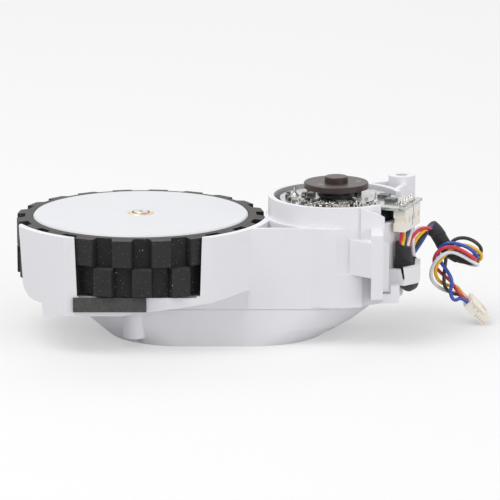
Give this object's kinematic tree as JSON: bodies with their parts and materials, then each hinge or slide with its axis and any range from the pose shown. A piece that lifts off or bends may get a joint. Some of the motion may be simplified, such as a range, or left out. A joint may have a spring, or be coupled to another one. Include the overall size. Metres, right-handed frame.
{
  "type": "robot vacuum wheel module",
  "caption": "Drive wheel unit of a robot vacuum: rubber-tyred wheel, moulded gear case, motor in a cup with a sensor disc, board and wire lead.",
  "frame": {"origin": "where the wheel axis meets the flat bottom of the gear case", "axes": "+X from the wheel to the motor, +Z along the wheel axis towards the wheel's outer face, the fender with its tread window faces -Y"},
  "size_m": [0.1347, 0.0702, 0.0446],
  "materials": {
    "white_housing": "fine satin moulded plastic",
    "wheel_disc_white": "smooth flat satin",
    "tyre_rubber": "moulded rubber tread, dull",
    "hub_plastic": "moulded, dull",
    "steel": "turned",
    "brass": "turned, slightly dulled",
    "bronze_bush": "sintered",
    "gear_plastic": "natural acetal",
    "black_metal": "black coated steel",
    "black_plastic": "moulded",
    "magnet": "sintered, grey",
    "encoder_brown": "bonded magnet, fine satin",
    "board": "solder mask over copper",
    "components": "chip packages",
    "solder": "bright solder",
    "cream_plastic": "natural nylon",
    "foam": "dense foam tape",
    "tape": "woven cloth tape",
    "wire_red": "vinyl insulation",
    "wire_yellow": "vinyl insulation",
    "wire_black": "vinyl insulation",
    "wire_blue": "vinyl insulation",
    "wire_white": "vinyl insulation"
  },
  "bodies": {
    "housing": {"main_housing": "white_housing", "gear_case_cover": "white_housing", "cover_screws": "steel", "motor_screws": "steel", "axle_bush_lower": "bronze_bush", "axle_bush_upper": "bronze_bush", "idler_pin_b": "steel", "idler_pin_a": "steel", "motor_can": "black_metal", "bearing_front": "steel", "stator": "steel", "motor_end_bell": "black_plastic", "bearing_rear": "steel", "driver_pcb": "board", "pcb_components": "components", "motor_terminals": "solder", "board_header": "cream_plastic", "header_pins": "solder", "wire_housing": "cream_plastic", "front_foam_strip": "foam", "far_plug": "cream_plastic", "plug_contacts": "steel", "tape_sleeve_upper": "tape", "tape_sleeve_lower": "tape", "wire_red": "wire_red", "wire_yellow": "wire_yellow", "wire_black": "wire_black", "wire_blue": "wire_blue", "wire_white": "wire_white"},
    "wheel": {"wheel_hub": "hub_plastic", "wheel_cap_disc": "wheel_disc_white", "wheel_insert": "brass", "tyre": "tyre_rubber", "wheel_axle": "steel", "final_gear": "gear_plastic"},
    "idler_b": {"idler_gear_b": "gear_plastic"},
    "idler_a": {"idler_gear_a": "gear_plastic"},
    "rotor": {"motor_pinion": "brass", "motor_shaft": "steel", "rotor_magnet": "magnet", "encoder_carrier": "black_plastic", "encoder_disc": "encoder_brown"}
  },
  "joints": [
    {"name": "wheel_spin", "type": "hinge", "parent": "housing", "child": "wheel", "pos_m": [0, 0, 0.0164], "axis": [0, 0, 1], "continuous": true},
    {"name": "idler_b_spin", "type": "hinge", "parent": "housing", "child": "idler_b", "pos_m": [0.02159, 0.00057, 0.009], "axis": [0, 0, 1], "continuous": true},
    {"name": "idler_a_spin", "type": "hinge", "parent": "housing", "child": "idler_a", "pos_m": [0.0387, -0.0026, 0.006], "axis": [0, 0, 1], "continuous": true},
    {"name": "rotor_spin", "type": "hinge", "parent": "housing", "child": "rotor", "pos_m": [0.0552, -0.0024, 0.025], "axis": [0, 0, 1], "continuous": true}
  ],
  "couplings": [
    {"joint": "wheel_spin", "follows": "rotor_spin", "ratio": -0.02029},
    {"joint": "idler_b_spin", "follows": "rotor_spin", "ratio": 0.057971},
    {"joint": "idler_a_spin", "follows": "rotor_spin", "ratio": -0.22222}
  ]
}
